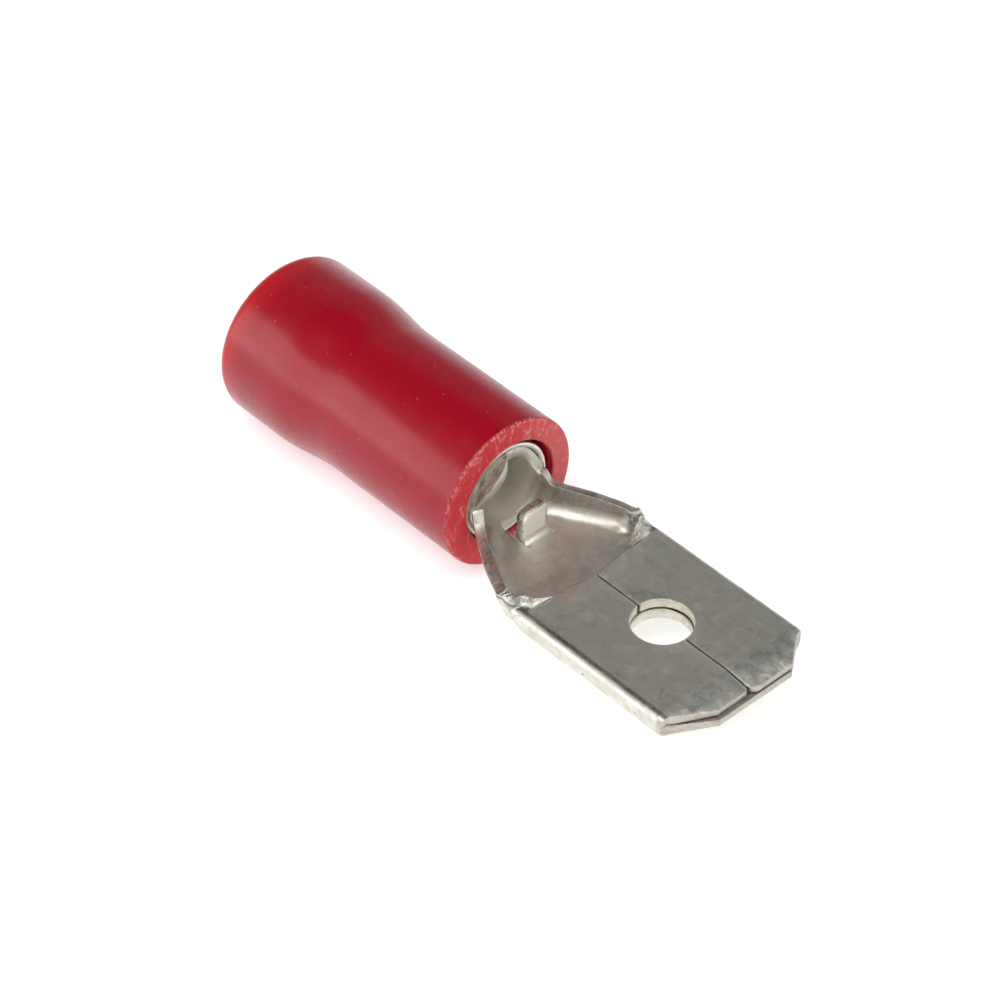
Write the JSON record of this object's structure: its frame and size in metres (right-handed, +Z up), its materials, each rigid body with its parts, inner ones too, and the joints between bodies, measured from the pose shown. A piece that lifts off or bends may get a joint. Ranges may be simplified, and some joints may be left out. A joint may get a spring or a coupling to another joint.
{
  "type": "male spade terminal",
  "caption": "Insulated male spade terminal: folded tab with a detent hole, open trough with a wire stop, and a crimp barrel in a support tube and moulded sleeve.",
  "frame": {"origin": "axis of the blade's hole, at the blade's underside", "axes": "+X along the terminal towards the tip of the blade, +Y across the blade, +Z up from its underside"},
  "size_m": [0.0227, 0.0064, 0.006],
  "materials": {
    "tinned_strip": "tin-plated, satin, with scuffed bright folds",
    "tinned_tube": "tin-plated, satin",
    "red_sleeve": "satin, scuffed around the front face"
  },
  "bodies": {
    "root": {"terminal": "tinned_strip", "support_tube": "tinned_tube", "insulating_sleeve": "red_sleeve"}
  },
  "joints": []
}
